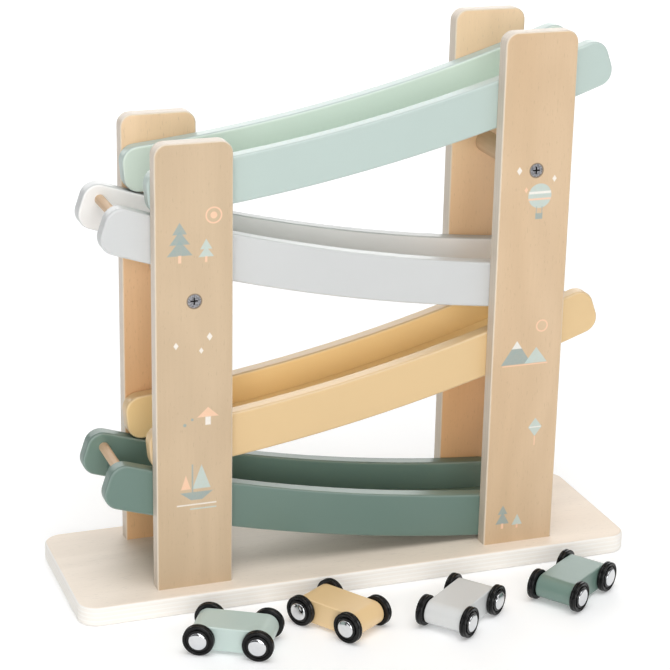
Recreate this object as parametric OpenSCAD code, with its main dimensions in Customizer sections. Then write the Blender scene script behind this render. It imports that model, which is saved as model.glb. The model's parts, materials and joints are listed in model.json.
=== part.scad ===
// Click clack track: four curved ramps stacked zigzag between two pairs of posts on a base board,
// and four block cars that tumble from each ramp's low end onto the ramp below.
// X runs along the ramps, Y from front to back, Z up. The origin is on the ground under the
// middle of the base board.

/* [Base board] */
// Length of the base board
base_length = 354; // [320:1:420]
// Depth of the base board, front to back
base_depth = 109; // [100:1:150]
// Thickness of the base board
base_thick = 12; // [8:0.5:18]
// Radius of the base board's corners in plan
base_corner = 12; // [6:0.5:20]
// Radius along the base board's upper and lower edges
base_edge = 2; // [1:0.25:3.5]

/* [Posts] */
// Distance between the middles of the left and the right posts
post_spacing = 210; // [190:1:220]
// Width of each post
post_width = 46; // [36:1:52]
// Thickness of each post
post_thick = 10; // [8:0.5:14]
// Radius of the posts' top corners
post_corner = 7.5; // [3:0.5:12]
// Radius along the posts' long edges
post_edge = 1.2; // [0.5:0.1:2]
// Height of the left posts' tops over the top ramp's rails there
left_post_above = 15.5; // [8:0.5:40]
// Height of the right posts' tops over the top ramp's rails there
right_post_above = 24; // [8:0.5:40]

/* [Ramp rails] */
// Height of a rail, from its lower to its upper edge
rail_height = 27.6; // [26:0.2:32]
// Thickness of a rail
rail_thick = 10; // [8:0.5:12]
// Bend radius of a rail's lower edge
rail_bend = 1093; // [900:1:1600]
// Length of a rail past the middle of its high posts
high_overhang = 52.1; // [40:0.1:60]
// Length of a rail past the middle of its low posts
low_overhang = 24.2; // [20:0.2:32]
// Straight part of a rail's end, between its two rounded corners
rail_end_flat = 8.4; // [0.4:0.2:12]
// Radius along the rails' edges
rail_edge = 1.6; // [0.8:0.1:2.5]
// Length cut off the lowest rails at their low end
green_short = 12; // [10:1:30]

/* [Ramp heights] */
// Height of the green rails over the base board at the right posts
green_lift = 0.3; // [0.2:0.1:4]
// Rise of the green rails from post to post
green_rise = 36.8; // [30:0.2:44]
// Rise of the yellow rails from post to post
yellow_rise = 43.6; // [34:0.2:50]
// Rise of the white rails from post to post
white_rise = 40.2; // [34:0.2:50]
// Rise of the mint rails from post to post
mint_rise = 43.4; // [34:0.2:50]
// Gap between the green and the yellow rails where the yellow rails' low ends begin to round
yellow_gap = 1.8; // [1.7:0.1:8]
// Gap between the yellow and the white rails where the white rails' low ends begin to round
white_gap = 2.3; // [2.1:0.1:8]
// Gap between the white and the mint rails where the mint rails' low ends begin to round
mint_gap = 2.2; // [1.9:0.1:8]

/* [Ramp floors] */
// Thickness of a ramp's floor strip
floor_thick = 4; // [3:0.25:5]
// Height of a floor's underside over its rails' lower edges
floor_rise = 5.5; // [4:0.25:7]
// Depth of the groove that holds a floor in each rail
floor_groove = 3; // [2:0.25:5]
// Length of the open drop between a floor and its rails' low ends
drop_length = 45.2; // [40:0.2:60]
// Distance from the lowest floor to its rails' low ends
green_floor_inset = 6; // [4:0.5:12]
// Space between a floor's high end and the catch bar
floor_end_gap = 3; // [1:0.5:6]

/* [Catch bars, spacer bars and dowels] */
// Diameter of a catch bar
catch_d = 6; // [4:0.25:8]
// Distance from a rail's high tip to the middle of its catch bar
catch_inset = 10.2; // [9:0.2:18]
// Depth of the hole that holds each end of a catch bar
catch_socket = 5; // [3:0.5:7]
// Diameter of the two spacer bars between front and rear posts
spacer_d = 13.5; // [10:0.5:18]
// Depth of the left spacer bar's middle below the white rails
left_spacer_drop = 13.6; // [11:0.2:20]
// Depth of the right spacer bar's middle below the mint rails
right_spacer_drop = 31; // [12:0.5:45]
// Diameter of the dowels that pin the rails to the posts
dowel_d = 5; // [4:0.25:6]
// Depth of a dowel in the post
dowel_in_post = 6; // [4:0.5:7]
// Depth of a dowel in the rail
dowel_in_rail = 5; // [4:0.5:7]

/* [Screws] */
// Diameter of the screw heads
screw_head_d = 8; // [6:0.25:10]
// Height of the countersunk screw heads
screw_head_h = 2.4; // [1.5:0.1:3.2]
// Diameter of the screw shanks
screw_d = 3.5; // [2.5:0.1:4.2]
// Length of the screws that hold the spacer bars
spacer_screw_length = 26; // [18:0.5:30]
// Length of the screws that hold the posts on the base board
base_screw_length = 30; // [24:0.5:36]
// Distance between the two screws under one post
base_screw_spacing = 22; // [16:0.5:26]
// Depth of each head below the face around it
screw_sink = 0.3; // [0:0.05:0.6]
// Width of a slot of the cross in the screw head
cross_width = 0.9; // [0.6:0.1:1.2]
// Length of a slot of the cross in the screw head
cross_length = 4.4; // [3:0.1:5]
// Depth of the cross in the screw head
cross_depth = 1.2; // [0.6:0.1:1.4]

/* [Cars] */
// Length of a car's block body
car_length = 48; // [44:0.5:54]
// Width of a car's block body
car_width = 24; // [20:0.5:26]
// Height of a car's block body, whose ends are half round
car_height = 14.6; // [11:0.2:16]
// Radius along the block body's edges
car_edge = 0.8; // [0.4:0.1:1.5]
// Distance between a car's two axles
wheelbase = 34.5; // [31:0.25:36]
// Radius of the wheels
wheel_r = 9.25; // [8.6:0.05:10]
// Width of a wheel
wheel_width = 4; // [3:0.1:5]
// Gap between a wheel and the block body
wheel_gap = 0.5; // [0.3:0.05:1]
// Width of the groove round a wheel's tread
tread_groove_width = 1.2; // [0.6:0.1:1.8]
// Depth of the groove round a wheel's tread
tread_groove_depth = 0.6; // [0.3:0.05:1]
// Bevel of a wheel's outer edges
wheel_bevel = 0.5; // [0.2:0.05:0.8]
// Outer radius of the ring sunk in a wheel's outer face
face_ring_r = 7.3; // [6.8:0.1:7.8]
// Radius of the hub inside that ring
hub_r = 6.2; // [5.8:0.1:6.5]
// Depth of the sunk ring
face_ring_depth = 0.8; // [0.3:0.1:1.2]
// Diameter of the axles
axle_d = 3; // [2:0.1:3.6]
// Radius of the domed hub caps
cap_r = 5.4; // [4.6:0.1:5.7]
// Height of the caps' straight rims
cap_rim = 0.4; // [0.2:0.05:0.8]
// Height of the caps over the hub
cap_height = 1.6; // [1.2:0.1:2.2]
// Depth of the socket that holds an axle's end in a cap
cap_socket = 0.8; // [0.4:0.05:1]
// Gap on each side between a car's caps and the ramp's rails
channel_clear = 4.2; // [2:0.1:8]

/* [Where the cars stand] */
// Place of the mint car along the base
mint_car_x = -99; // [-110:1:-90]
// Space between the base and the mint car
mint_car_space = 17; // [14:0.5:30]
// Turn of the mint car, in degrees
mint_car_turn = -30; // [-36:1:-24]
// Place of the yellow car along the base
yellow_car_x = -32.5; // [-36:0.5:-30]
// Space between the base and the yellow car
yellow_car_space = 7; // [6:0.5:12]
// Turn of the yellow car, in degrees
yellow_car_turn = -57; // [-62:1:-52]
// Place of the white car along the base
white_car_x = 38.5; // [37:0.5:42]
// Space between the base and the white car
white_car_space = 23.5; // [22:0.5:27]
// Turn of the white car, in degrees
white_car_turn = 39; // [36:1:42]
// Place of the green car along the base
green_car_x = 116; // [114:1:130]
// Space between the base and the green car
green_car_space = 14; // [10:0.5:20]
// Turn of the green car, in degrees
green_car_turn = 35; // [32:1:38]

/* [Fits] */
// Running clearance of an axle in the block body, on the radius
running_clear = 0.05; // [0.02:0.01:0.1]
// Clearance of pressed and glued pieces
glue_clear = 0.02; // [0.01:0.01:0.05]
// Clearance round a floor strip in its grooves
groove_clear = 0.1; // [0.05:0.05:0.2]

/* [Hidden] */
$fn = 64;
// How far a cut runs past the face that it opens
overrun = 1;
// Steps of a full turn on the ramps' long bends
bend_fn = 720;
// Steps of a full turn on the caps' wide domes
dome_fn = 360;

natural_wood = "#dbbf9f";
limed_wood = "#e4dacd";
steel = "#8f9296";
chrome = "#d5dadd";
wheel_black = "#1d1c1d";
mint_paint = "#c3d2cb";
white_paint = "#d7d8d7";
yellow_paint = "#e2c18a";
green_paint = "#6d8577";

// Cars: the outer face of a wheel, and the whole width over the caps
wheel_face = car_width / 2 + wheel_gap + wheel_width;
car_span = 2 * (wheel_face + cap_height);

// The space between the two rails of a ramp, and between the front and the rear posts
channel_width = car_span + 2 * channel_clear;
post_gap = channel_width + 2 * rail_thick;

// The ramps, from the lowest to the top one. A ramp rises to the right where its turn is 0.
RAMPS = ["green", "yellow", "white", "mint"];
ramp_turn = [180, 0, 180, 0];
ramp_paint = [green_paint, yellow_paint, white_paint, mint_paint];
ramp_rise = [green_rise, yellow_rise, white_rise, mint_rise];
ramp_gap = [0, yellow_gap, white_gap, mint_gap];
ramp_cut = [green_short, 0, 0, 0];
floor_inset = [green_floor_inset, drop_length, drop_length, drop_length];

// Radius of the rounded corners at a rail's ends
rail_nose = (rail_height - rail_end_flat) / 2;

// How far two ramps close in on each other, from the posts to where the upper one's low end begins to round
function closing(k) = (low_overhang - rail_nose) * (ramp_rise[k - 1] + ramp_rise[k]) / post_spacing;

// Height of the rails' lower edge at the low and at the high post
function low_z(k) = k == 0
    ? base_thick + green_lift
    : high_z(k - 1) + rail_height + closing(k) + ramp_gap[k];
function high_z(k) = low_z(k) + ramp_rise[k];

// Centre of the bend, from the chord between the two posts
function half_chord(k) = norm([post_spacing / 2, ramp_rise[k] / 2]);
function bend_depth(k) = sqrt(rail_bend * rail_bend - half_chord(k) * half_chord(k));
function bend_x(k) = -ramp_rise[k] / 2 / half_chord(k) * bend_depth(k);
function bend_z(k) = (low_z(k) + high_z(k)) / 2 + post_spacing / 2 / half_chord(k) * bend_depth(k);

// Radii round the bend's centre: middle line, the floor's two faces, and the catch bar
rail_mid_r = rail_bend - rail_height / 2;
floor_low_r = rail_bend - floor_rise;
floor_top_r = floor_low_r - floor_thick;
catch_r = floor_top_r - wheel_r;

// Angle that a length takes up on the middle line, and the angles of the posts, the tips, the floor's
// ends and the catch bar
function along(length) = length / rail_mid_r * 180 / PI;
function post_a(k, side) = asin((side * post_spacing / 2 - bend_x(k)) / rail_mid_r);
function high_a(k) = post_a(k, 1) + along(high_overhang);
function low_a(k) = post_a(k, -1) - along(low_overhang - ramp_cut[k]);
function floor_low_a(k) = low_a(k) + along(floor_inset[k]);
function catch_a(k) = high_a(k) - along(catch_inset);
function floor_high_a(k) = catch_a(k) - along(catch_d / 2 + floor_end_gap);

// Heights of the post tops and of the spacer bars
left_post_top = low_z(3) + rail_height + left_post_above;
right_post_top = high_z(3) + rail_height + right_post_above;
left_spacer_z = high_z(2) - left_spacer_drop;
right_spacer_z = high_z(3) - right_spacer_drop;

// The cars: half of a turned car's depth sets its place in front of the base
CARS = ["mint", "yellow", "white", "green"];
car_turn = [mint_car_turn, yellow_car_turn, white_car_turn, green_car_turn];
car_x = [mint_car_x, yellow_car_x, white_car_x, green_car_x];
car_space = [mint_car_space, yellow_car_space, white_car_space, green_car_space];
car_paint = [mint_paint, yellow_paint, white_paint, green_paint];
function turned_half(a) = (wheelbase / 2 + wheel_r) * abs(sin(a)) + car_span / 2 * abs(cos(a));
function car_y(k) = -base_depth / 2 - car_space[k] - turned_half(car_turn[k]);

AXLES = ["front", "rear"];
axle_side = [-1, 1];

// A rectangle round the origin with rounded corners
module rounded_bar(width, depth, r) {
    translate([-width / 2 + r, -depth / 2]) square([width - 2 * r, depth]);
    translate([-width / 2, -depth / 2 + r]) square([width, depth - 2 * r]);
    for (x = [-1, 1], y = [-1, 1]) translate([x * (width / 2 - r), y * (depth / 2 - r)]) circle(r);
}

// A countersunk screw with its head's face at z = 0, pointing up
module screw(length) {
    difference() {
        union() {
            cylinder(h = screw_head_h, d1 = screw_head_d, d2 = screw_d);
            translate([0, 0, screw_head_h]) cylinder(h = length - screw_head_h, d = screw_d);
        }
        for (a = [0, 90]) rotate([0, 0, a])
            translate([-cross_length / 2, -cross_width / 2, -overrun])
                cube([cross_length, cross_width, overrun + cross_depth]);
    }
}

// The hole for such a screw, open downwards through the face below its head
module screw_hole(length) {
    grow = 2 * glue_clear;
    translate([0, 0, -screw_sink - overrun])
        cylinder(h = screw_sink + overrun, d = screw_head_d + grow);
    cylinder(h = screw_head_h, d1 = screw_head_d + grow, d2 = screw_d + grow);
    cylinder(h = length + glue_clear, d = screw_d + grow);
}

// Places of the screws under the posts
module at_base_screws(sides = [-1, 1], rows = [-1, 1]) {
    for (x = sides, y = rows, e = [-1, 1])
        translate([
            x * post_spacing / 2 + e * base_screw_spacing / 2,
            y * (post_gap + post_thick) / 2,
            screw_sink
        ]) children();
}

// Places of the spacer bars' screws, in the outer faces of the posts
module at_spacer_screws(sides = [-1, 1], rows = [-1, 1]) {
    for (x = sides, y = rows)
        translate([x * post_spacing / 2, y * (post_gap / 2 + post_thick - screw_sink), spacer_z(x)])
            rotate([y * 90, 0, 0]) children();
}

function spacer_z(side) = side < 0 ? left_spacer_z : right_spacer_z;

// Height of the dowels where ramp k crosses the posts; side is -1 for the left posts
function crossing_z(k, side) = ((ramp_turn[k] == 0) == (side > 0) ? high_z(k) : low_z(k)) + rail_height / 2;

// The dowel there, or with clear its hole; row is -1 for the front
module dowel(side, row, k, clear) {
    translate([side * post_spacing / 2, row * post_gap / 2, crossing_z(k, side)])
        rotate([-row * 90, 0, 0]) translate([0, 0, -dowel_in_rail - clear])
            cylinder(h = dowel_in_rail + dowel_in_post + 2 * clear, d = dowel_d + 2 * clear);
}

// Half of a board's section, from its middle line at x = 0 out to its rounded edge
module half_section(reach, thick, edge) {
    intersection() {
        translate([0, thick / 2]) rounded_bar(2 * reach, thick, edge);
        square([reach, thick]);
    }
}

// The rounded end of a board that lies flat, beyond x = 0, with its edges rounded all the way round
module board_end(width, thick, corner, edge) {
    y = width / 2 - corner;
    translate([0, y, 0]) {
        rotate([90, 0, 0]) linear_extrude(height = 2 * y) half_section(corner, thick, edge);
        rotate_extrude(angle = 90) half_section(corner, thick, edge);
    }
    translate([0, -y, 0]) rotate([0, 0, -90]) rotate_extrude(angle = 90) half_section(corner, thick, edge);
}

// A board's middle, along X from x = 0
module board_middle(length, width, thick, edge) {
    rotate([90, 0, 90]) linear_extrude(height = length)
        translate([0, thick / 2]) rounded_bar(width, thick, edge);
}

module base_board() {
    color(limed_wood) difference() {
        for (a = [0, 180]) rotate([0, 0, a]) {
            board_middle(base_length / 2 - base_corner, base_depth, base_thick, base_edge);
            translate([base_length / 2 - base_corner, 0, 0])
                board_end(base_depth, base_thick, base_corner, base_edge);
        }
        at_base_screws() screw_hole(base_screw_length);
    }
}

// A post is a board on end; side is -1 for left, row is -1 for front
module post(side, row) {
    top = side < 0 ? left_post_top : right_post_top;
    straight = top - base_thick - post_corner;
    color(natural_wood) difference() {
        translate([side * post_spacing / 2, row * (post_gap + post_thick) / 2 + post_thick / 2, base_thick])
            rotate([90, 0, 0]) rotate([0, 0, 90]) {
                board_middle(straight, post_width, post_thick, post_edge);
                translate([straight, 0, 0]) board_end(post_width, post_thick, post_corner, post_edge);
            }
        at_base_screws([side], [row]) screw_hole(base_screw_length);
        at_spacer_screws([side], [row]) screw_hole(spacer_screw_length);
        for (k = [0 : len(RAMPS) - 1]) dowel(side, row, k, glue_clear);
    }
}

module spacer_bar(side) {
    color(natural_wood) difference() {
        translate([side * post_spacing / 2, post_gap / 2, spacer_z(side)])
            rotate([90, 0, 0]) cylinder(h = post_gap, d = spacer_d);
        at_spacer_screws([side]) screw_hole(spacer_screw_length);
    }
}

module spacer_screws() { color(steel) at_spacer_screws() screw(spacer_screw_length); }

module base_screws() { color(steel) at_base_screws() screw(base_screw_length); }

module rail_dowels() {
    color(natural_wood) for (side = [-1, 1], row = [-1, 1], k = [0 : len(RAMPS) - 1]) dowel(side, row, k, 0);
}

// Puts a ramp's pieces in their place. They are drawn flat round the bend's centre, with the
// angles counted from straight down, and z = 0 in the middle between the rails.
module on_ramp(k) {
    rotate([0, 0, ramp_turn[k]]) translate([bend_x(k), 0, bend_z(k)]) rotate([90, 0, 0]) children();
}

// Carries a section, drawn in radius and height, round the bend from angle a0 to a1
module bent(a0, a1) {
    rotate([0, 0, a0 - 90]) rotate_extrude(angle = a1 - a0, $fn = bend_fn) children();
}

// A flat strip round the bend between two radii, as far to either side as half
module strip(r0, r1, half, a0, a1) {
    bent(a0, a1) translate([r0, -half]) square([r1 - r0, 2 * half]);
}

// A rod across ramp k where its catch bar lies
module catch_pin(k, half_length, d) {
    rotate([0, 0, catch_a(k)]) translate([0, -catch_r, -half_length]) cylinder(h = 2 * half_length, d = d);
}

// A rail on its side, drawn in two halves that mirror each other and overlap in the middle. Each half is
// a bend that starts where the rounded end begins.
module rail_board(k) {
    half = (high_a(k) - low_a(k)) / 2 - along(rail_nose);
    rotate([0, 0, (low_a(k) + high_a(k)) / 2]) for (flip = [0, 1]) mirror([flip, 0, 0]) rotate([0, 0, half]) {
        bent(0, -half - along(rail_nose)) translate([rail_mid_r, rail_thick / 2])
            rounded_bar(rail_height, rail_thick, rail_edge);
        translate([0, -rail_mid_r, 0]) board_end(rail_height, rail_thick, rail_nose, rail_edge);
    }
}

// row is -1 for the front rail; a ramp that is turned round has it on its other side
module rail(k, row) {
    front = (ramp_turn[k] == 0) == (row < 0);
    inner = channel_width / 2;
    groove = along(groove_clear);
    color(ramp_paint[k]) difference() {
        on_ramp(k) difference() {
            translate([0, 0, front ? inner : -inner - rail_thick]) rail_board(k);
            strip(floor_top_r - groove_clear, floor_low_r + groove_clear, inner + floor_groove + groove_clear,
                floor_low_a(k) - groove, floor_high_a(k) + groove);
            catch_pin(k, inner + catch_socket + glue_clear, catch_d + 2 * glue_clear);
        }
        for (post_side = [-1, 1]) dowel(post_side, row, k, glue_clear);
    }
}

module ramp_floor(k) {
    color(ramp_paint[k]) on_ramp(k)
        strip(floor_top_r, floor_low_r, channel_width / 2 + floor_groove, floor_low_a(k), floor_high_a(k));
}

module catch_bar(k) {
    color(natural_wood) on_ramp(k) catch_pin(k, channel_width / 2 + catch_socket, catch_d);
}

// Puts a car in its place on the ground
module at_car(k) {
    translate([car_x[k], car_y(k), 0]) rotate([0, 0, car_turn[k]]) children();
}

// A rod across a car at the height of its axles
module across(h, d) {
    translate([0, h / 2, wheel_r]) rotate([90, 0, 0]) cylinder(h = h, d = d);
}

// The block body: its ends are half round, seen from the side
module car_body(k) {
    r = car_height / 2;
    color(car_paint[k]) at_car(k) difference() {
        translate([0, car_width / 2, wheel_r]) rotate([90, 0, 0]) for (a = [0, 180]) rotate([0, 0, a]) {
            board_middle(car_length / 2 - r, car_height, car_width, car_edge);
            translate([car_length / 2 - r, 0, 0]) rotate([0, 0, -90])
                rotate_extrude(angle = 180) half_section(r, car_width, car_edge);
        }
        for (x = [-1, 1]) translate([x * wheelbase / 2, 0, 0])
            across(car_width + 2 * overrun, axle_d + 2 * running_clear);
    }
}

module at_axle(k, a) {
    at_car(k) translate([axle_side[a] * wheelbase / 2, 0, 0]) children();
}

module car_axle(k, a) {
    color(steel) at_axle(k, a) across(2 * (wheel_face + cap_socket), axle_d);
}

// The two wheels of an axle: a grooved tread, a sunk ring in the outer face, and a hub
module car_wheels(k, a) {
    bore = axle_d / 2 + glue_clear;
    w = wheel_width;
    color(wheel_black) at_axle(k, a) for (y = [-1, 1])
        translate([0, y * (wheel_face - w), wheel_r]) rotate([-y * 90, 0, 0]) rotate_extrude() polygon([
            [bore, 0], [wheel_r - wheel_bevel, 0], [wheel_r, wheel_bevel],
            [wheel_r, (w - tread_groove_width) / 2], [wheel_r - tread_groove_depth, w / 2],
            [wheel_r, (w + tread_groove_width) / 2], [wheel_r, w - wheel_bevel],
            [wheel_r - wheel_bevel, w], [face_ring_r, w], [face_ring_r, w - face_ring_depth],
            [hub_r, w - face_ring_depth], [hub_r, w], [bore, w]
        ]);
}

// The two domed caps on an axle's ends: a straight rim and a shallow spherical dome
module car_caps(k, a) {
    socket = axle_d / 2 + glue_clear;
    rise = cap_height - cap_rim;
    dome_r = (cap_r * cap_r + rise * rise) / (2 * rise);
    color(chrome) at_axle(k, a) for (y = [-1, 1])
        translate([0, y * wheel_face, wheel_r]) rotate([-y * 90, 0, 0]) difference() {
            rotate_extrude() intersection() {
                translate([0, cap_height - dome_r]) circle(dome_r, $fn = dome_fn);
                square([cap_r, cap_height]);
            }
            translate([0, 0, -overrun]) cylinder(h = overrun + cap_socket + glue_clear, r = socket);
        }
}

base_board();
post(-1, -1);  // post_front_left
post(1, -1);  // post_front_right
post(-1, 1);  // post_rear_left
post(1, 1);  // post_rear_right
spacer_bar(-1);  // spacer_bar_left
spacer_bar(1);  // spacer_bar_right
spacer_screws();
base_screws();
rail_dowels();
for (k = [0 : len(RAMPS) - 1]) {
    rail(k, -1);
    rail(k, 1);
    ramp_floor(k);
    catch_bar(k);
}
for (k = [0 : len(CARS) - 1]) {
    car_body(k);
    for (a = [0 : len(AXLES) - 1]) {
        car_axle(k, a);
        car_wheels(k, a);
        car_caps(k, a);
    }
}
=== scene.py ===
import json

import bmesh
import bpy
import numpy as np
from mathutils import Matrix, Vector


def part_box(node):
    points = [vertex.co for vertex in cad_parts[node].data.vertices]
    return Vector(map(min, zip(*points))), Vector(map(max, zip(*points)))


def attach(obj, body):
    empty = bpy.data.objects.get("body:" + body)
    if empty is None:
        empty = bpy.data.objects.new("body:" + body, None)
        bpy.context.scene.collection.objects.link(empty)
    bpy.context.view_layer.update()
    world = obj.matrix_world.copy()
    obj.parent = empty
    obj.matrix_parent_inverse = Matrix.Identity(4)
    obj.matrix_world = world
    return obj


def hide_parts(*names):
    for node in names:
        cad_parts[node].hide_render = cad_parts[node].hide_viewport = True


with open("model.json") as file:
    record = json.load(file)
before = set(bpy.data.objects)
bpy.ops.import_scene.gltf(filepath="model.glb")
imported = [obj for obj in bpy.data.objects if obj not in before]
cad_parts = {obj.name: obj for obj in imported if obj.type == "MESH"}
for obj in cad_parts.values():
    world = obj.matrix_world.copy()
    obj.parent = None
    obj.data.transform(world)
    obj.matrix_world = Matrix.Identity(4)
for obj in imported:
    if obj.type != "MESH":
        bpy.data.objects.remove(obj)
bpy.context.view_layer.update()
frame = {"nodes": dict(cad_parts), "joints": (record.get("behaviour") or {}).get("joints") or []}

# The view and the room. The toy stands on a white table top in a white studio, seen by a long
# lens from the left front and a little above. Wide lamps behind the camera and overhead light it
# evenly, a bright back wall shines in the level tops, and the room beyond them is dim.
azimuth, elevation, roll = np.radians([-20.2135, 19.2014, 1.1656])
forward = np.array([
    -np.sin(azimuth) * np.cos(elevation), np.cos(azimuth) * np.cos(elevation), -np.sin(elevation)])
level = np.array([np.cos(azimuth), np.sin(azimuth), 0.0])
upright = np.cross(level, forward)
camera = bpy.data.objects.new("camera", bpy.data.cameras.new("camera"))
camera.data.lens, camera.data.sensor_width = 112.32, 36.0
camera.data.clip_end = 30.0
camera.matrix_world = Matrix.LocRotScale((-0.4186, -1.1258, 0.5634), Matrix(np.stack([
    np.cos(roll) * level + np.sin(roll) * upright,
    np.cos(roll) * upright - np.sin(roll) * level,
    -forward], axis=1).tolist()), None)
bpy.context.scene.collection.objects.link(camera)
bpy.context.scene.camera = camera
bpy.context.scene.view_settings.view_transform = "Standard"


def white_room():
    """The dim light of the room: white all round, but for a dark band low down on the left front
    side, which shows in the chrome caps."""
    room = bpy.data.worlds.new("white_room")
    room.use_nodes = True
    nodes, links = room.node_tree.nodes, room.node_tree.links
    where = nodes.new("ShaderNodeTexCoord")
    height = nodes.new("ShaderNodeSeparateXYZ")
    links.new(where.outputs["Generated"], height.inputs[0])
    to_left_front = nodes.new("ShaderNodeVectorMath")
    to_left_front.operation = "DOT_PRODUCT"
    to_left_front.inputs[1].default_value = (-0.6, -0.8, 0.0)
    links.new(where.outputs["Generated"], to_left_front.inputs[0])
    band = nodes.new("ShaderNodeValToRGB")
    stops = band.color_ramp.elements
    for place in (0.10, 0.30):
        stops.new(place).color = (0.05, 0.05, 0.05, 1)
    stops[0].position, stops[0].color = 0.04, (1, 1, 1, 1)
    stops[-1].position, stops[-1].color = 0.40, (1, 1, 1, 1)
    links.new(height.outputs["Z"], band.inputs["Fac"])
    elsewhere = nodes.new("ShaderNodeValToRGB")
    for stop, place, value in zip(elsewhere.color_ramp.elements, (0.15, 0.45), (1, 0)):
        stop.position, stop.color = place, (value, value, value, 1)
    links.new(to_left_front.outputs["Value"], elsewhere.inputs["Fac"])
    lit = nodes.new("ShaderNodeMix")
    lit.data_type, lit.blend_type = "RGBA", "LIGHTEN"
    lit.inputs[0].default_value = 1.0
    links.new(band.outputs["Color"], lit.inputs[6])
    links.new(elsewhere.outputs["Color"], lit.inputs[7])
    links.new(lit.outputs[2], nodes["Background"].inputs["Color"])
    nodes["Background"].inputs["Strength"].default_value = 0.32
    return room


def softbox(name, place, aim, size, power):
    """A rectangular lamp of the studio that shines from a place towards a point, its width level."""
    lamp = bpy.data.lights.new(name, "AREA")
    lamp.shape, lamp.size, lamp.size_y, lamp.energy = "RECTANGLE", *size, power
    box = bpy.data.objects.new(name, lamp)
    back = np.subtract(place, aim) / np.linalg.norm(np.subtract(place, aim))
    side = np.array([-back[1], back[0], 0.0]) / np.hypot(back[0], back[1])
    turn = Matrix(np.stack([side, np.cross(back, side), back], axis=1).tolist())
    box.matrix_world = Matrix.LocRotScale(place, turn, None)
    box.visible_camera = False
    bpy.context.scene.collection.objects.link(box)


bpy.context.scene.world = white_room()
softbox("front_softbox", (-0.6, -2.3, 0.7), (0, 0, 0.07), (1.6, 1.1), 28.5)
softbox("high_softbox", (-1.3, -1.8, 2.0), (0, 0, 0.15), (1.4, 1.2), 1.0)
softbox("overhead_softbox", (0.0, -0.6, 2.2), (0, 0, 0.15), (2.0, 1.6), 26.0)
softbox("left_softbox", (-2.4, 0.2, 1.0), (0, 0, 0.15), (1.2, 1.2), 2.0)
softbox("back_wall", (0.3, 2.4, 1.1), (0, 0, 0.1), (3.2, 1.6), 41.0)

# The table top is a plain board with a white laminate, a little clouded, that runs far past the
# picture. It is part of the studio and not of the toy.


class Wire:
    """A socket of a material's nodes. Sums, products and the like of wires add Math nodes."""

    def __init__(self, finish, socket):
        self.finish, self.socket = finish, socket

    def maths(self, operation, *others, clamp=False):
        settings = {"operation": operation, "use_clamp": clamp}
        return self.finish.node("Math", settings, dict(enumerate((self, *others))))

    def __add__(self, other): return self.maths("ADD", other)
    def __sub__(self, other): return self.maths("SUBTRACT", other)
    def __rsub__(self, other): return self * -1.0 + other
    def __mul__(self, other): return self.maths("MULTIPLY", other)
    def __abs__(self): return self.maths("ABSOLUTE")
    __radd__, __rmul__ = __add__, __mul__

    def least(self, other):
        """The smaller of two values."""
        return self.maths("MINIMUM", other)

    def within(self):
        """The value, kept between 0 and 1."""
        return self.maths("ADD", 0.0, clamp=True)


class Finish:
    """A material in the making. Its fixed values go straight onto the shader's own sockets."""

    def __init__(self, name, **fixed):
        self.material = bpy.data.materials.new(name)
        self.material.use_nodes = True
        self.tree = self.material.node_tree
        self.shader = self.tree.nodes["Principled BSDF"]
        for socket, value in fixed.items():
            self.shader.inputs[socket.replace("_", " ")].default_value = value

    def node(self, kind, settings=None, sockets=None, out=0):
        """Adds any node: its type, its settings, then the values or wires of its sockets."""
        made = self.tree.nodes.new("ShaderNode" + kind)
        for name, value in (settings or {}).items():
            setattr(made, name, value)
        for name, value in (sockets or {}).items():
            if isinstance(value, Wire):
                self.tree.links.new(value.socket, made.inputs[name])
            else:
                made.inputs[name].default_value = value
        return Wire(self, made.outputs[out])

    def here(self):
        """Object coordinates in millimetres, as X, Y and Z wires."""
        spot = self.node("TexCoord", out="Object")
        return [self.node("SeparateXYZ", None, {0: spot}, out=i) * 1000.0 for i in range(3)]

    def noise(self, stretch, detail=2.0, rough=0.5, shift=(0, 0, 0)):
        """Noise between 0 and 1, with so many waves to the metre along X, Y and Z."""
        spot = self.node("TexCoord", out="Object")
        spot = self.node("Mapping", None, {"Vector": spot, "Location": shift, "Scale": stretch})
        sockets = {"Vector": spot, "Scale": 1.0, "Detail": detail, "Roughness": rough}
        return self.node("TexNoise", None, sockets)

    def arris(self, across):
        """How far the surface lies on a rounded edge between the faces across a direction and the
        others: with c the cosine between the direction and the normal, 4 times c^2 (1 - c^2)."""
        normal = self.node("TexCoord", out="Normal")
        dot = {"operation": "DOT_PRODUCT"}
        cosine = self.node("VectorMath", dot, {0: normal, 1: across}, out="Value")
        square = cosine * cosine
        return square * (1.0 - square) * 4.0

    def mix(self, share, first, second, blend="MIX"):
        """A colour between two others, each a wire or three numbers."""
        first, second = (c if isinstance(c, Wire) else (*c, 1.0) for c in (first, second))
        settings = {"data_type": "RGBA", "blend_type": blend}
        return self.node("Mix", settings, {0: share, 6: first, 7: second}, out=2)

    def dents(self, height, depth):
        """A normal from a height between 0 and 1 that stands for a depth in metres."""
        return self.node("Bump", None, {"Distance": depth, "Height": height})

    def feed(self, **wires):
        """Links wires to the shader's sockets and gives the finished material."""
        for socket, wire in wires.items():
            self.tree.links.new(wire.socket, self.shader.inputs[socket.replace("_", " ")])
        return self.material


def coat(piece, material):
    """Gives a piece its only material."""
    piece.data.materials.clear()
    piece.data.materials.append(material)


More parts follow.
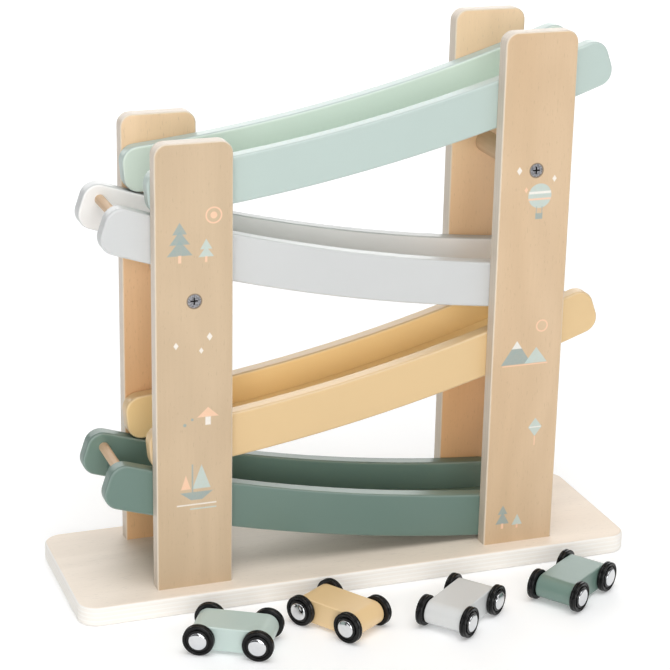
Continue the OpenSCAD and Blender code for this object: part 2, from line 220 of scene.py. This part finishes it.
table_top = bpy.data.objects.new("table_top", bpy.data.meshes.new("table_top"))
table_top.data.from_pydata([(-6, -6, 0), (6, -6, 0), (6, 6, 0), (-6, 6, 0)], [], [(0, 1, 2, 3)])
laminate = Finish(
    "white_laminate", Roughness=0.8, Emission_Color=(1, 1, 1, 1), Emission_Strength=0.17)
clouds = laminate.noise((4, 4, 4))
laminate_colour = laminate.mix(clouds, (0.875, 0.88, 0.885), (0.90, 0.905, 0.91))
coat(table_top, laminate.feed(Base_Color=laminate_colour))
bpy.context.scene.collection.objects.link(table_top)

# The base board is 12 mm plywood with large rounded corners and rounded edges. Its faces are
# rubbed with a thin white stain, its edge shows the plies as faint lines, and screws go up
# through it into the posts.


def veneer(finish, grain, light, dark, cloud_waves=(3, 24), shift=0.0):
    """The colour and the height of a sliced veneer, with its grain along an axis. Contour lines of a
    noise that is stretched along the grain make its flames, and finer stretched noises its streaks
    and its small dark flecks. Cloud waves are so many to the metre along and across the grain."""
    def waves(along, across):
        return (along, across, across) if grain == "X" else (across, across, along)

    where = (shift, shift, shift)
    clouds = finish.noise(waves(*cloud_waves), 2.0, 0.5, where)
    flames = (finish.noise(waves(5.5, 17), 0.8, 0.4, where) * 42.0).maths("SINE") * 0.5 + 0.5
    streaks = finish.noise(waves(24, 620), 3.0, 0.6, where)
    flecks = ((finish.noise(waves(230, 1300), 1.0, 0.5, where) - 0.64) * 9.0).within()
    colour = finish.mix(((clouds - 0.5) * 1.9 + 0.5).within(), light, dark)
    colour = finish.mix(flames * 0.26, colour, tuple(0.88 * c for c in dark))
    streaky = ((streaks - 0.5) * 1.6 + 0.3).within() * 0.2
    colour = finish.mix(streaky, colour, tuple(0.82 * c for c in dark))
    colour = finish.mix(flecks * 0.28, colour, tuple(0.6 * c for c in dark))
    return colour, streaks * 0.7 + flecks * -0.4 + 0.3


def plywood(finish, face, face_height, depth, thick, plies, light, dark, grain):
    """Adds a board's cut edge to its face. Depth is a wire that runs, in millimetres, from 0 at one
    face to the board's thickness at the other. Every second ply shows its end grain a little darker,
    and a fine glue line lies between two plies."""
    count = depth * (plies / thick)
    ply = count.maths("FRACT")
    odd = (count * 0.5).maths("FRACT")
    end_grain = ((odd - 0.5) * 12.0 + 0.5).within()
    glue = ((abs(ply - 0.5) - 0.42) * 16.0).within()
    fibres = finish.noise((60, 60, 900) if grain == "X" else (60, 900, 60), 2.0)
    edge = finish.mix((end_grain * 0.45 + (fibres - 0.5) * 0.7).within(), light, dark)
    edge = finish.mix(glue * 0.22, edge, tuple(0.62 * c for c in dark))
    cut = ((thick / 2 - abs(depth - thick / 2) - 0.2) * 4.0).within()
    colour = finish.mix(cut, face, edge)
    edge_height = (end_grain * -0.3) + fibres * 0.6 + glue * -0.4 + 0.3
    return colour, face_height * (1.0 - cut) + cut * edge_height


def extent(node):
    """The lowest and the highest corner of a CAD node, in millimetres to a tenth."""
    return [[round(v * 1000, 1) for v in corner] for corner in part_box(node)]


BOARD_THICK = extent("base_board")[1][2]
limed = Finish("limed_plywood", Specular_IOR_Level=0.4)
above_table = limed.here()[2]
board_face, board_height = veneer(limed, "X", (0.90, 0.80, 0.69), (0.87, 0.76, 0.64))
board_colour, board_height = plywood(
    limed, board_face, board_height, above_table, BOARD_THICK, plies=9,
    light=(0.92, 0.89, 0.84), dark=(0.86, 0.80, 0.72), grain="X")
coat(frame["nodes"]["base_board"], limed.feed(
    Base_Color=board_colour, Roughness=board_height * 0.12 + 0.46,
    Normal=limed.dents(board_height, 0.00006)))

# Four posts of 10 mm plywood stand on the board, with rounded top corners and softened edges. Their
# faces are birch under a clear satin lacquer, each a little different in tone, and the rear posts
# lighter as painted light for the shade they stand in. Their cut edges are paler, with a cream line
# where the veneer is rounded over.


def motif(kind, u, v, width, height):
    """The share of ink of a simple printed shape round (0, 0), in millimetres, with soft borders half
    a millimetre wide. Each shape is a distance to its border that is above zero inside: a disc; a
    ring whose height is its line's width; a block; a kite; a wedge, which is a triangle that points
    up; and a hull, which is a bowl with a flat bottom."""
    across, up = abs(u), abs(v)
    if kind == "disc":
        inside = (u * u + v * v).maths("SQRT") * -1.0 + width / 2
    elif kind == "ring":
        inside = abs((u * u + v * v).maths("SQRT") - width / 2) * -1.0 + height / 2
    elif kind == "block":
        inside = (width / 2 - across).least(height / 2 - up)
    elif kind == "kite":
        inside = width / 2 - across - up * (width / height)
    elif kind == "wedge":
        inside = (v + height / 2).least((height / 2 - v) * (width / height / 2) - across)
    else:
        inside = (height / 2 - up).least((v + height) * (width / height / 3) - across)
    return (inside * 2.0 + 0.5).within()


INKS = {
    "slate": (0.29, 0.37, 0.36), "pale": (0.50, 0.60, 0.57),
    "white": (0.84, 0.80, 0.74), "peach": (0.86, 0.56, 0.38)}
(_, INNER_FACE, _), (_, OUTER_FACE, _) = extent("post_rear_left")
POST_THICK = round(OUTER_FACE - INNER_FACE, 1)
SCREW_PLACES = []
for side in ("left", "right"):
    low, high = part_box("spacer_bar_" + side)
    SCREW_PLACES.append([round(v * 500, 1) for v in (low.x + high.x, low.z + high.z)])


def post_finish(name, shift, light, dark, prints=()):
    """Birch plywood of a post. Each print is an ink, a shape, its middle in X and Z and its width and
    height in millimetres, and lies on the outer face only. The inner face is painted lighter as
    painted light for the shade between the posts, warmer and darker towards the foot as painted
    shade and warm bounce light. A dark ring round each screw's countersunk hole is painted shadow."""
    birch = Finish(name, Specular_IOR_Level=0.45)
    x, y, z = birch.here()
    depth = abs(y) - INNER_FACE
    face, height = veneer(birch, "Z", light, dark, (3, 26), shift)
    if prints:
        outside = ((depth - (POST_THICK - 0.1)) * 20.0).within()
        cover = (birch.noise((700, 700, 700), 2.0) - 0.35) * 3.0
        cover = outside * (cover.within() * 0.12 + 0.8)
        for ink, kind, at_x, at_z, wide, tall in prints:
            inked = motif(kind, x - at_x, z - at_z, wide, tall) * cover
            face = birch.mix(inked, face, INKS[ink])
    # Painted light on the inner face: lighter for the shade between the posts, and warmer and darker
    # towards the foot as painted shade and warm bounce light.
    painted_post_light = birch.mix(((300.0 - z) * 0.005).within(), (1.32, 1.30, 1.28), (1.12, 0.91, 0.70))
    face_with_painted_light = birch.mix(1.0, face, painted_post_light, "MULTIPLY")
    face = birch.mix((1.0 - depth * 4.0).within(), face, face_with_painted_light)
    # A dark ring round each screw is painted shadow of the gap between the head and its hole.
    for at_x, at_z in SCREW_PLACES:
        painted_gap_shadow = motif("ring", x - at_x, z - at_z, 8.5, 0.8)
        face = birch.mix(painted_gap_shadow * 0.75, face, (0.12, 0.09, 0.07))
    colour, height = plywood(
        birch, face, height, depth, POST_THICK, plies=7,
        light=(0.69, 0.60, 0.50), dark=(0.62, 0.53, 0.435), grain="Z")
    rounded = (birch.arris((0, 1, 0)) * 1.3 - 0.3).within()
    colour = birch.mix(rounded * 0.5, colour, (0.86, 0.77, 0.64))
    return birch.feed(
        Base_Color=colour, Roughness=height * 0.12 + 0.38, Normal=birch.dents(height, 0.00005))


# Small screen prints in soft colours stand on the outer faces of the two front posts. The left one
# has two firs with a sun, stars, a toadstool and a sailing boat.
left_prints = [
    ("slate", "wedge", -113.5, 222, 15, 9), ("slate", "wedge", -113.5, 228, 12, 8),
    ("slate", "wedge", -113.5, 233.5, 8.5, 7), ("peach", "block", -113.5, 215.5, 1.8, 4.5),
    ("peach", "ring", -93.5, 240, 9, 0.9), ("peach", "disc", -93.5, 240, 4, 4),
    ("pale", "wedge", -98, 219, 9, 6), ("pale", "wedge", -98, 223.5, 7, 6),
    ("peach", "block", -98, 214.5, 1.4, 3.5),
    ("peach", "wedge", -97, 122, 13, 6), ("white", "block", -97, 116.5, 3.2, 5),
    ("slate", "disc", -111, 115, 2, 2), ("slate", "disc", -106.5, 118, 1.6, 1.6),
    ("white", "kite", -96, 168, 3.4, 5), ("white", "kite", -101, 160, 2.6, 3.8),
    ("white", "kite", -116, 164, 3, 4.4),
    ("slate", "hull", -104, 70, 20, 5), ("pale", "wedge", -101, 82, 11, 15),
    ("peach", "wedge", -110.5, 79, 6, 9), ("slate", "block", -106.5, 81, 0.9, 18),
    ("white", "block", -104, 64.6, 24, 0.8), ("pale", "block", -100, 61.8, 16, 0.8)]

# The right post has stars with a striped balloon, hills with a moon, a kite and two small firs.
right_prints = [
    ("white", "kite", 94, 252, 3.4, 5), ("white", "kite", 117, 246, 2.8, 4.2),
    ("peach", "kite", 99, 240, 2.4, 3.6),
    ("pale", "disc", 108, 236, 15, 15), ("white", "block", 108, 238, 14.2, 1.5),
    ("peach", "block", 108, 234, 14.4, 1.2), ("slate", "block", 108, 223.5, 4.6, 3.6),
    ("slate", "block", 106.2, 227, 0.5, 5), ("slate", "block", 109.8, 227, 0.5, 5),
    ("slate", "wedge", 98, 138, 20, 15), ("white", "wedge", 98, 143, 6.7, 5),
    ("pale", "wedge", 111, 135.5, 15, 10), ("peach", "ring", 114, 154, 7, 0.9),
    ("peach", "block", 104, 129.8, 30, 0.7),
    ("pale", "kite", 113, 88, 9, 12), ("white", "block", 113, 88, 7.6, 0.7),
    ("peach", "block", 113, 79, 0.7, 6),
    ("slate", "wedge", 94, 29, 9, 8), ("slate", "wedge", 94, 34.5, 6.5, 6),
    ("peach", "block", 94, 23.5, 1.5, 3.5),
    ("pale", "wedge", 104, 27, 7, 7), ("peach", "block", 104, 22.5, 1.2, 2.5)]
# Beside a small real difference in tone, the rear posts are lighter as painted light for their shade.
for name, shift, light, dark, prints in (
        ("post_front_left", 0.0, (0.61, 0.465, 0.31), (0.54, 0.40, 0.255), left_prints),
        ("post_front_right", 3.1, (0.68, 0.51, 0.34), (0.61, 0.43, 0.26), right_prints),
        ("post_rear_left", 6.7, (0.72, 0.555, 0.38), (0.645, 0.475, 0.305), ()),
        ("post_rear_right", 9.2, (0.73, 0.56, 0.385), (0.65, 0.48, 0.31), ())):
    coat(frame["nodes"][name], post_finish(name + "_birch", shift, light, dark, prints))

# Spacer bars, catch bars and dowels are plain turned rods of a light wood, unpainted, with their
# grain along the rod. The spacer bars are screwed, and the others are pressed into blind holes.
rod = Finish("turned_wood", Specular_IOR_Level=0.4)
streaks = rod.noise((900, 14, 900), 3.0, 0.6)
clouds = rod.noise((60, 8, 60), 2.0)
rod_colour = rod.mix(clouds, (0.72, 0.52, 0.34), (0.62, 0.43, 0.27))
streaky = ((streaks - 0.5) * 2.0 + 0.4).within() * 0.3
turned_wood = rod.feed(
    Base_Color=rod.mix(streaky, rod_colour, (0.45, 0.29, 0.17)),
    Roughness=streaks * 0.15 + 0.45, Normal=rod.dents(streaks, 0.00005))
for name in ("spacer_bar_left", "spacer_bar_right", "rail_dowels", "green_catch_bar",
             "yellow_catch_bar", "white_catch_bar", "mint_catch_bar"):
    coat(frame["nodes"][name], turned_wood)

# Countersunk steel screws with a cross hold the spacer bars and the posts. They are zinc plated,
# with scuffed heads, and painted shade makes the cross and all below the face of the head dark.
HEAD_FACE_Y, HEAD_FACE_Z = extent("spacer_screws")[1][1], extent("base_screws")[0][2]
for name in ("spacer_screws", "base_screws"):
    plate = Finish(name + "_zinc", Metallic=1.0)
    _, y, z = plate.here()
    # Painted shade: all that lies deeper than the face of the head is made nearly black.
    painted_recess_shade = (HEAD_FACE_Y - abs(y) if name == "spacer_screws" else z - HEAD_FACE_Z) * 4.0
    scuffs = plate.noise((1100, 1100, 1100), 2.0)
    head = plate.mix(((scuffs - 0.5) * 3.0 + 0.5).within(), (0.16, 0.16, 0.17), (0.40, 0.40, 0.42))
    coat(frame["nodes"][name], plate.feed(
        Base_Color=plate.mix(painted_recess_shade.within(), head, (0.03, 0.03, 0.03)),
        Roughness=scuffs * 0.3 + 0.22, Normal=plate.dents(scuffs, 0.00003)))

# The ramps are painted wood: two bent rails, and between them a thin floor strip in their grooves.
# The satin paint is sprayed, and it is a little lighter on the rounded edges.
PAINTS = {
    "green": (0.13, 0.205, 0.173), "yellow": (0.70, 0.50, 0.26),
    "white": (0.565, 0.575, 0.572), "mint": (0.455, 0.55, 0.515)}
# Factors of painted light that lighten the paint between a ramp's rails, where shade falls.
INNER_PAINTED_LIGHT = {
    "green": (1.27, 1.24, 1.24), "yellow": (1.35, 1.4, 1.35),
    "white": (1.48, 1.44, 1.42), "mint": (1.4, 1.35, 1.28)}
RAIL_INSIDE = extent("mint_rail_rear")[0][1]


def satin_paint(name, colour, across, painted_inner_light=None, shine=0.58):
    """Sprayed paint: broad faint clouds, a fine orange peel, a grain that barely shows through, and
    paler rounded edges along the faces that lie across a direction. Between a ramp's rails, the
    paint is made lighter by a factor for each primary colour, as painted light for the shade there."""
    paint = Finish(name, Specular_IOR_Level=shine)
    clouds = paint.noise((14, 14, 14), 2.0)
    peel = paint.noise((700, 700, 700), 2.0)
    grain = paint.noise((12, 500, 500), 2.0)
    tone = paint.mix(clouds, tuple(0.97 * c for c in colour), tuple(1.03 * c for c in colour))
    grainy = ((grain - 0.55) * 3.0).within() * 0.1
    tone = paint.mix(grainy, tone, tuple(0.9 * c for c in colour))
    rounded = (paint.arris(across) * 1.5 - 0.5).within()
    tone = paint.mix(rounded * 0.35, tone, tuple(0.75 * c + 0.25 for c in colour))
    # Painted light: between the rails the paint is made lighter by these factors, for the shade
    # there.
    if painted_inner_light:
        between = ((RAIL_INSIDE + 0.7 - abs(paint.here()[1])) * 2.0).within()
        tone = paint.mix(between, tone, painted_inner_light, "MULTIPLY")
    return paint.feed(
        Base_Color=tone, Roughness=clouds * 0.06 + peel * 0.06 + 0.3,
        Normal=paint.dents(peel * 0.7 + grain * 0.3, 0.00003))


for ramp, colour in PAINTS.items():
    coating = satin_paint(ramp + "_rail_paint", colour, (0, 1, 0), INNER_PAINTED_LIGHT[ramp])
    for name in ("rail_front", "rail_rear", "floor"):
        coat(frame["nodes"][f"{ramp}_{name}"], coating)

# The cars are block bodies in the same four paints, laid on a little lighter and glossier, on two
# steel axles each.
CAR_TONE, CAR_SHINE = 1.11, 0.85
axle = Finish("drawn_steel", Metallic=1.0)
draw = axle.noise((1500, 1500, 1500), 1.0)
drawn_steel = axle.feed(
    Base_Color=axle.mix(draw, (0.5, 0.5, 0.51), (0.6, 0.6, 0.61)), Roughness=draw * 0.1 + 0.25)
for car, colour in PAINTS.items():
    spin = next(j for j in frame["joints"] if j["name"] == f"{car}_car_front_spin")
    car_colour = tuple(CAR_TONE * c for c in colour)
    coat(frame["nodes"][f"{car}_car_body"],
         satin_paint(car + "_car_paint", car_colour, spin["axis"], shine=CAR_SHINE))
    for end in ("front", "rear"):
        coat(frame["nodes"][f"{car}_car_{end}_axle"], drawn_steel)

# The wheels are moulded in glossy black plastic: two ridges round the tread, a rim with a step and
# a deep groove in the outer face, and a hub that carries the cap.


def softened(corners, radii):
    """A closed profile with rounded corners: near each corner it follows the parabola that joins
    the two points which lie a radius away along the sides."""
    corners, radii = np.array(corners, float), np.array(radii, float)[:, None]
    back, on = np.roll(corners, 1, 0) - corners, np.roll(corners, -1, 0) - corners
    start = corners + radii * back / np.linalg.norm(back, axis=1, keepdims=True)
    end = corners + radii * on / np.linalg.norm(on, axis=1, keepdims=True)
    t = np.linspace(0, 1, 7)[None, :, None]
    curve = (1 - t) ** 2 * start[:, None] + 2 * t * (1 - t) * corners[:, None] + t ** 2 * end[:, None]
    return curve.reshape(-1, 2)


def turned_pair(name, profile, joint, closed=True, steps=96):
    """Two equal turned pieces, one at each end of an axle, from a profile of radii and distances from
    the axle's middle in millimetres. Their surface is a function of the angle t round the axle and
    the place k on the profile: the axle's middle, plus the profile's distance along the axle to
    either side, plus its radius times (cos t, sin t) across the axle."""
    middle, along = np.array(joint["pos_m"]), np.array(joint["axis"])
    up = np.array([0.0, 0.0, 1.0])
    across = np.cross(along, up)
    t = np.linspace(0, 2 * np.pi, steps, endpoint=False)
    spoke = np.cos(t)[:, None] * up + np.sin(t)[:, None] * across
    radius, place = (profile / 1000).T
    ends = np.array([-1.0, 1.0])
    spots = (middle + ends[:, None, None, None] * place[None, None, :, None] * along
             + radius[None, None, :, None] * spoke[None, :, None, :])
    _, m, n, _ = spots.shape
    k = np.arange(2 * m * n).reshape(2, m, n)
    last = n if closed else n - 1
    a, b = k[:, :, :last], np.roll(k, -1, 2)[:, :, :last]
    faces = np.stack([a, b, np.roll(b, -1, 1), np.roll(a, -1, 1)], -1).reshape(-1, 4)
    mesh = bpy.data.meshes.new(name)
    mesh.from_pydata(spots.reshape(-1, 3).tolist(), [], faces.tolist())
    work = bmesh.new()
    work.from_mesh(mesh)
    bmesh.ops.remove_doubles(work, verts=work.verts, dist=1e-7)
    bmesh.ops.recalc_face_normals(work, faces=work.faces)
    work.to_mesh(mesh)
    work.free()
    mesh.shade_smooth()
    mesh.set_sharp_from_angle(angle=np.radians(40))
    piece = bpy.data.objects.new(name, mesh)
    bpy.context.scene.collection.objects.link(piece)
    return piece


moulded = Finish("moulded_black", Specular_IOR_Level=0.25)
flow = moulded.noise((90, 90, 90), 2.0)
scratch = moulded.noise((3000, 3000, 300), 1.0)
moulded_black = moulded.feed(
    Base_Color=moulded.mix(flow, (0.004, 0.004, 0.004), (0.009, 0.009, 0.0095)),
    Roughness=flow * 0.05 + scratch * 0.05 + 0.06, Normal=moulded.dents(flow, 0.00004))
BORE, TREAD, WHEEL_IN, WHEEL_OUT = 1.52, 9.22, 12.5, 16.5
wheel_profile = softened(
    [(BORE, WHEEL_IN), (TREAD, WHEEL_IN), (TREAD, 14.0), (8.5, 14.5), (TREAD, 15.0),
     (9.15, WHEEL_OUT), (8.1, WHEEL_OUT), (8.0, 16.1), (7.4, 16.1), (7.2, 15.3), (6.6, 15.3),
     (6.4, WHEEL_OUT), (BORE, WHEEL_OUT)],
    [0.05, 0.7, 0.3, 0.25, 0.3,
     0.75, 0.2, 0.1, 0.2, 0.2, 0.2,
     0.2, 0.05])

# The chrome caps are domed hub caps, pushed on the ends of each axle. They close the wheels' hubs
# and turn with them.
chromed = Finish("polished_chrome", Metallic=1.0)
haze = chromed.noise((500, 500, 500), 2.0)
polished_chrome = chromed.feed(
    Base_Color=chromed.mix(haze, (0.66, 0.67, 0.69), (0.74, 0.75, 0.76)),
    Roughness=haze * 0.06 + 0.06)
CAP_RADIUS, CAP_SEAT, CAP_RIM, CAP_RISE = 5.25, 16.52, 16.9, 1.15
u = np.linspace(0, np.pi / 2, 24)
dome = np.stack([CAP_RADIUS * np.cos(u), CAP_RIM + CAP_RISE * np.sin(u) ** 0.9], axis=1)
cap_profile = np.concatenate(
    [[(0.0, CAP_SEAT), (CAP_RADIUS - 0.1, CAP_SEAT), (CAP_RADIUS, CAP_SEAT + 0.08)], dome])
cap_profile[-1, 0] = 0.0

for car in PAINTS:
    for end in ("front", "rear"):
        joint = next(j for j in frame["joints"] if j["name"] == f"{car}_car_{end}_spin")
        for part, profile, material, slot in (
                ("wheels", wheel_profile, moulded_black, "wheel_plastic"),
                ("caps", cap_profile, polished_chrome, "cap_chrome")):
            name = f"{car}_car_{end}_turned_{part}"
            piece = turned_pair(name, profile, joint, closed=part == "wheels")
            coat(piece, material)
            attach(piece, f"{car}_car_{end}_wheelset")
            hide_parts(f"{car}_car_{end}_{part}")
